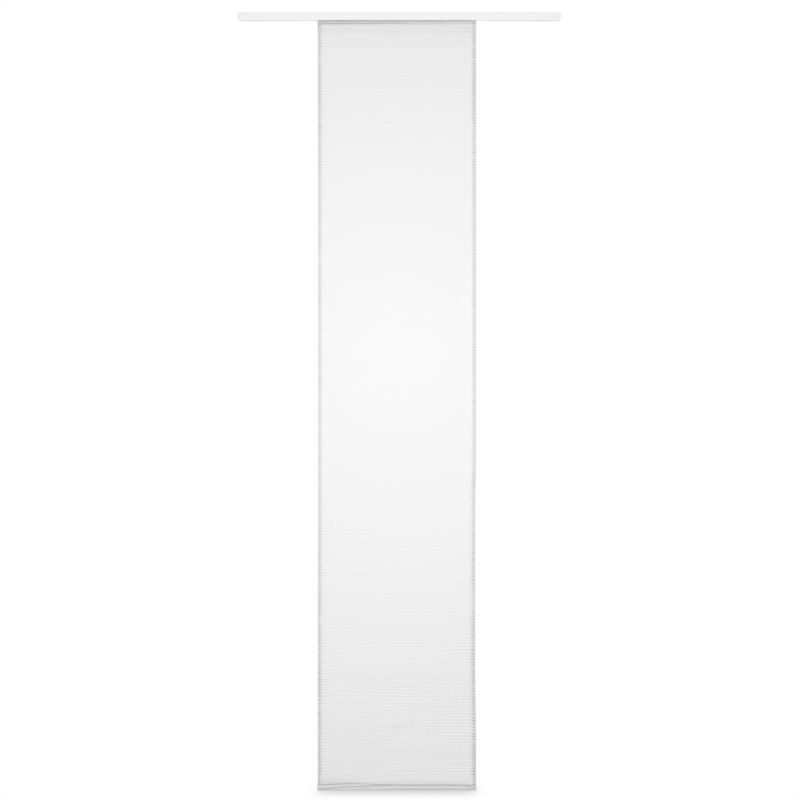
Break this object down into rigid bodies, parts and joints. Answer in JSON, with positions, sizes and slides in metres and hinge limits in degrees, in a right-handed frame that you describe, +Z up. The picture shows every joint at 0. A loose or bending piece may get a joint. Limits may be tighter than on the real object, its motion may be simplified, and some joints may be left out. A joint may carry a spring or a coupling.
{
  "type": "sliding panel curtain",
  "caption": "Flat cross-ribbed cloth panel on roller trucks that slides along a ceiling track, with a weight bar in its bottom hem.",
  "frame": {"origin": "on the ceiling plane, midway between the two ceiling screws, over the track's middle", "axes": "+Z up; X along the track, the way the panel slides; -Y towards the room, the way the cloth faces"},
  "size_m": [1.226, 0.0206, 2.9428],
  "materials": {
    "track_coating": "satin",
    "cap_plastic": "satin",
    "clip_steel": "satin",
    "stop_plastic": "satin",
    "screw_steel": "satin",
    "carrier_coating": "satin",
    "truck_plastic": "satin",
    "wheel_plastic": "satin",
    "axle_steel": "polished",
    "hook_tape": "matte",
    "loop_tape": "matte",
    "cloth": "matte",
    "bar_aluminium": "satin",
    "bar_cap_plastic": "satin"
  },
  "bodies": {
    "rail": {"track_profile": "track_coating", "end_cap_left": "cap_plastic", "end_cap_right": "cap_plastic", "ceiling_clip_left": "clip_steel", "ceiling_clip_right": "clip_steel", "end_stop_left": "stop_plastic", "end_stop_right": "stop_plastic", "end_stop_screws": "screw_steel"},
    "panel": {"carrier_profile": "carrier_coating", "carrier_cap_left": "cap_plastic", "carrier_cap_right": "cap_plastic", "truck_1": "truck_plastic", "truck_2": "truck_plastic", "truck_3": "truck_plastic", "truck_4": "truck_plastic", "hook_tape": "hook_tape", "loop_tape": "loop_tape", "curtain_panel": "cloth", "weight_bar": "bar_aluminium", "weight_bar_cap_left": "bar_cap_plastic", "weight_bar_cap_right": "bar_cap_plastic"},
    "wheelset_1": {"axle_1": "axle_steel", "wheel_1_front": "wheel_plastic", "wheel_1_rear": "wheel_plastic"},
    "wheelset_2": {"axle_2": "axle_steel", "wheel_2_front": "wheel_plastic", "wheel_2_rear": "wheel_plastic"},
    "wheelset_3": {"axle_3": "axle_steel", "wheel_3_front": "wheel_plastic", "wheel_3_rear": "wheel_plastic"},
    "wheelset_4": {"axle_4": "axle_steel", "wheel_4_front": "wheel_plastic", "wheel_4_rear": "wheel_plastic"}
  },
  "joints": [
    {"name": "panel_slide", "type": "slide", "parent": "rail", "child": "panel", "axis": [1, 0, 0], "range_m": [-0.3, 0.318]},
    {"name": "wheel_spin_1", "type": "hinge", "parent": "panel", "child": "wheelset_1", "pos_m": [-0.279, 0, -0.0246], "axis": [0, 1, 0], "continuous": true},
    {"name": "wheel_spin_2", "type": "hinge", "parent": "panel", "child": "wheelset_2", "pos_m": [-0.099, 0, -0.0246], "axis": [0, 1, 0], "continuous": true},
    {"name": "wheel_spin_3", "type": "hinge", "parent": "panel", "child": "wheelset_3", "pos_m": [0.081, 0, -0.0246], "axis": [0, 1, 0], "continuous": true},
    {"name": "wheel_spin_4", "type": "hinge", "parent": "panel", "child": "wheelset_4", "pos_m": [0.261, 0, -0.0246], "axis": [0, 1, 0], "continuous": true}
  ],
  "couplings": [
    {"joint": "wheel_spin_1", "follows": "panel_slide", "rad_per_m": 222.22},
    {"joint": "wheel_spin_2", "follows": "panel_slide", "rad_per_m": 222.22},
    {"joint": "wheel_spin_3", "follows": "panel_slide", "rad_per_m": 222.22},
    {"joint": "wheel_spin_4", "follows": "panel_slide", "rad_per_m": 222.22}
  ]
}
